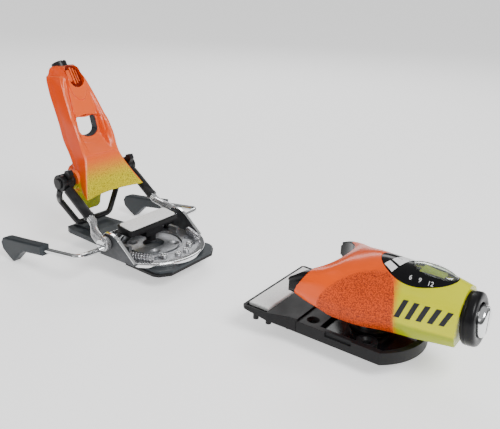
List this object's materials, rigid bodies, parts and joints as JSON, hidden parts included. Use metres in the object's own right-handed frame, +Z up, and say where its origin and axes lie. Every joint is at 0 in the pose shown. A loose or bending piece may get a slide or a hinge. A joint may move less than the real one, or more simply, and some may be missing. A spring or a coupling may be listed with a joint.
{
  "type": "ski binding",
  "caption": "Alpine step-in ski binding pair: turntable heel with leaning tower, two arms, bail and brake, and a toe unit with wings, sliding sole strip and release scale.",
  "frame": {"origin": "the turntable's axis on the ski's top surface, in the middle of the four heel screws", "axes": "+X towards the ski's tip, +Y to the skier's left, +Z up from the ski"},
  "size_m": [0.4087, 0.1566, 0.1684],
  "materials": {
    "tower_plastic": "orange fading to textured yellow",
    "treadle_plastic": "textured yellow-green",
    "toe_plastic": "orange fading to yellow, rough side patch",
    "black_gloss": "glossy black",
    "black_plastic": "fine grained",
    "grey_plastic": "fine grained",
    "pad_white": "low-friction",
    "cast_metal": "cast, satin",
    "chromed": "polished",
    "steel": "machined",
    "black_metal": "black satin coat",
    "window_red": "ribbed",
    "clear": "clear polycarbonate",
    "indicator": "moulded",
    "spring_steel": "oiled"
  },
  "bodies": {
    "ski_plates": {"heel_base_plate": "grey_plastic", "heel_under_plate": "black_plastic", "turntable_hub": "steel", "toe_base_plate": "black_plastic", "toe_floor_plate": "black_gloss", "toe_pivot_post": "chromed", "afd_carrier": "black_plastic", "afd_springs": "spring_steel"},
    "turntable": {"turntable_pan": "cast_metal", "turntable_rim": "chromed", "right_turntable_cheek": "chromed", "left_turntable_cheek": "chromed", "turntable_rear_cover": "chromed", "pan_bolts": "chromed", "right_brake_block": "black_plastic", "left_brake_block": "black_plastic", "arm_pivot_bolts": "chromed", "centring_springs": "spring_steel", "brake_springs": "spring_steel"},
    "brake_arms": {"right_brake_wire": "chromed", "left_brake_wire": "chromed", "right_brake_tip": "grey_plastic", "left_brake_tip": "grey_plastic"},
    "brake_foot": {"brake_pedal": "black_plastic", "brake_pad": "pad_white"},
    "heel_arms": {"right_arm_lug": "cast_metal", "left_arm_lug": "cast_metal", "right_arm_rod": "chromed", "left_arm_rod": "chromed"},
    "arm_carriage": {"right_arm_sleeve": "black_metal", "left_arm_sleeve": "black_metal", "right_axle_boss": "black_metal", "left_axle_boss": "black_metal", "heel_axle": "steel", "axle_caps": "black_metal", "axle_spacers": "black_metal", "heel_cam": "steel", "pressure_springs": "spring_steel"},
    "heel_tower": {"heel_housing": "tower_plastic", "heel_treadle": "treadle_plastic", "heel_window_insert": "window_red", "heel_spring": "spring_steel"},
    "heel_yoke": {"heel_yoke": "steel"},
    "heel_indicator": {"heel_indicator": "indicator"},
    "heel_adjust_screw": {"heel_adjust_screw": "black_metal"},
    "release_bail": {"release_bail": "black_metal", "bail_hubs": "black_metal"},
    "toe_swivel": {"toe_swivel": "steel"},
    "toe_head": {"toe_housing": "toe_plastic", "toe_deck": "black_gloss", "toe_window": "clear", "right_wing_tip": "black_gloss", "left_wing_tip": "black_gloss", "toe_cap": "black_plastic", "toe_spring": "spring_steel", "toe_piston": "steel"},
    "toe_follower": {"toe_follower": "indicator"},
    "toe_adjust_screw": {"toe_adjust_screw": "chromed"},
    "afd_slider": {"afd_pad": "pad_white"}
  },
  "joints": [
    {"name": "turntable_turn", "type": "hinge", "parent": "ski_plates", "child": "turntable", "pos_m": [0, 0, 0], "axis": [0, 0, 1], "range_deg": [-30, 30], "stiffness_Nm_per_rad": 1.5},
    {"name": "brake_turn", "type": "hinge", "parent": "turntable", "child": "brake_arms", "pos_m": [-0.0185, 0, 0.0115], "axis": [0, 1, 0], "range_deg": [0, 26], "stiffness_Nm_per_rad": 0.6, "springref_deg": -34.38},
    {"name": "brake_foot_tilt", "type": "hinge", "parent": "brake_arms", "child": "brake_foot", "pos_m": [-0.0085, 0, 0.0252], "axis": [0, 1, 0], "range_deg": [-26, 0]},
    {"name": "heel_arm_swing", "type": "hinge", "parent": "turntable", "child": "heel_arms", "pos_m": [-0.0123, 0, 0.01915], "axis": [0, 1, 0], "range_deg": [0, 35]},
    {"name": "forward_pressure", "type": "slide", "parent": "heel_arms", "child": "arm_carriage", "axis": [-0.8047, 0, 0.5936], "range_m": [-0.004, 0.005]},
    {"name": "heel_step_in", "type": "hinge", "parent": "arm_carriage", "child": "heel_tower", "pos_m": [-0.071, 0, 0.0582], "axis": [0, 1, 0], "range_deg": [0, 28]},
    {"name": "heel_yoke_slide", "type": "slide", "parent": "heel_tower", "child": "heel_yoke", "axis": [-0.5, 0, 0.866], "range_m": [0, 0.003], "deforming": ["heel_spring"]},
    {"name": "heel_screw_turn", "type": "hinge", "parent": "heel_tower", "child": "heel_adjust_screw", "pos_m": [-0.0955, 0, 0.121], "axis": [-0.5, 0, 0.866], "range_deg": [-690, 690]},
    {"name": "heel_indicator_slide", "type": "slide", "parent": "heel_tower", "child": "heel_indicator", "axis": [-0.5, 0, 0.866], "range_m": [-0.0025, 0.0025]},
    {"name": "bail_swing", "type": "hinge", "parent": "arm_carriage", "child": "release_bail", "pos_m": [-0.071, 0, 0.0582], "axis": [0, 1, 0], "range_deg": [0, 60]},
    {"name": "toe_turn", "type": "hinge", "parent": "ski_plates", "child": "toe_swivel", "pos_m": [0.2122, 0, 0], "axis": [0, 0, 1], "range_deg": [-25, 25], "stiffness_Nm_per_rad": 20},
    {"name": "toe_lift", "type": "hinge", "parent": "toe_swivel", "child": "toe_head", "pos_m": [0.2122, 0, 0.024], "axis": [0, 1, 0], "range_deg": [0, 6], "stiffness_Nm_per_rad": 20, "springref_deg": -5.73},
    {"name": "toe_screw_turn", "type": "hinge", "parent": "toe_head", "child": "toe_adjust_screw", "pos_m": [0.1802, 0, 0.036], "axis": [1, 0, 0], "range_deg": [-720, 720]},
    {"name": "toe_follower_slide", "type": "slide", "parent": "toe_head", "child": "toe_follower", "axis": [1, 0, 0], "range_m": [-0.0031, 0.0031], "deforming": ["toe_spring"]},
    {"name": "afd_slide", "type": "slide", "parent": "ski_plates", "child": "afd_slider", "axis": [0, 1, 0], "range_m": [-0.003, 0.003], "stiffness_N_per_m": 400}
  ],
  "couplings": [
    {"joint": "brake_foot_tilt", "follows": "brake_turn", "ratio": -1},
    {"joint": "heel_yoke_slide", "follows": "heel_step_in", "m_per_rad": 0.005},
    {"joint": "heel_indicator_slide", "follows": "heel_screw_turn", "m_per_rad": -0.00019894},
    {"joint": "toe_follower_slide", "follows": "toe_screw_turn", "m_per_rad": -0.00023873}
  ]
}
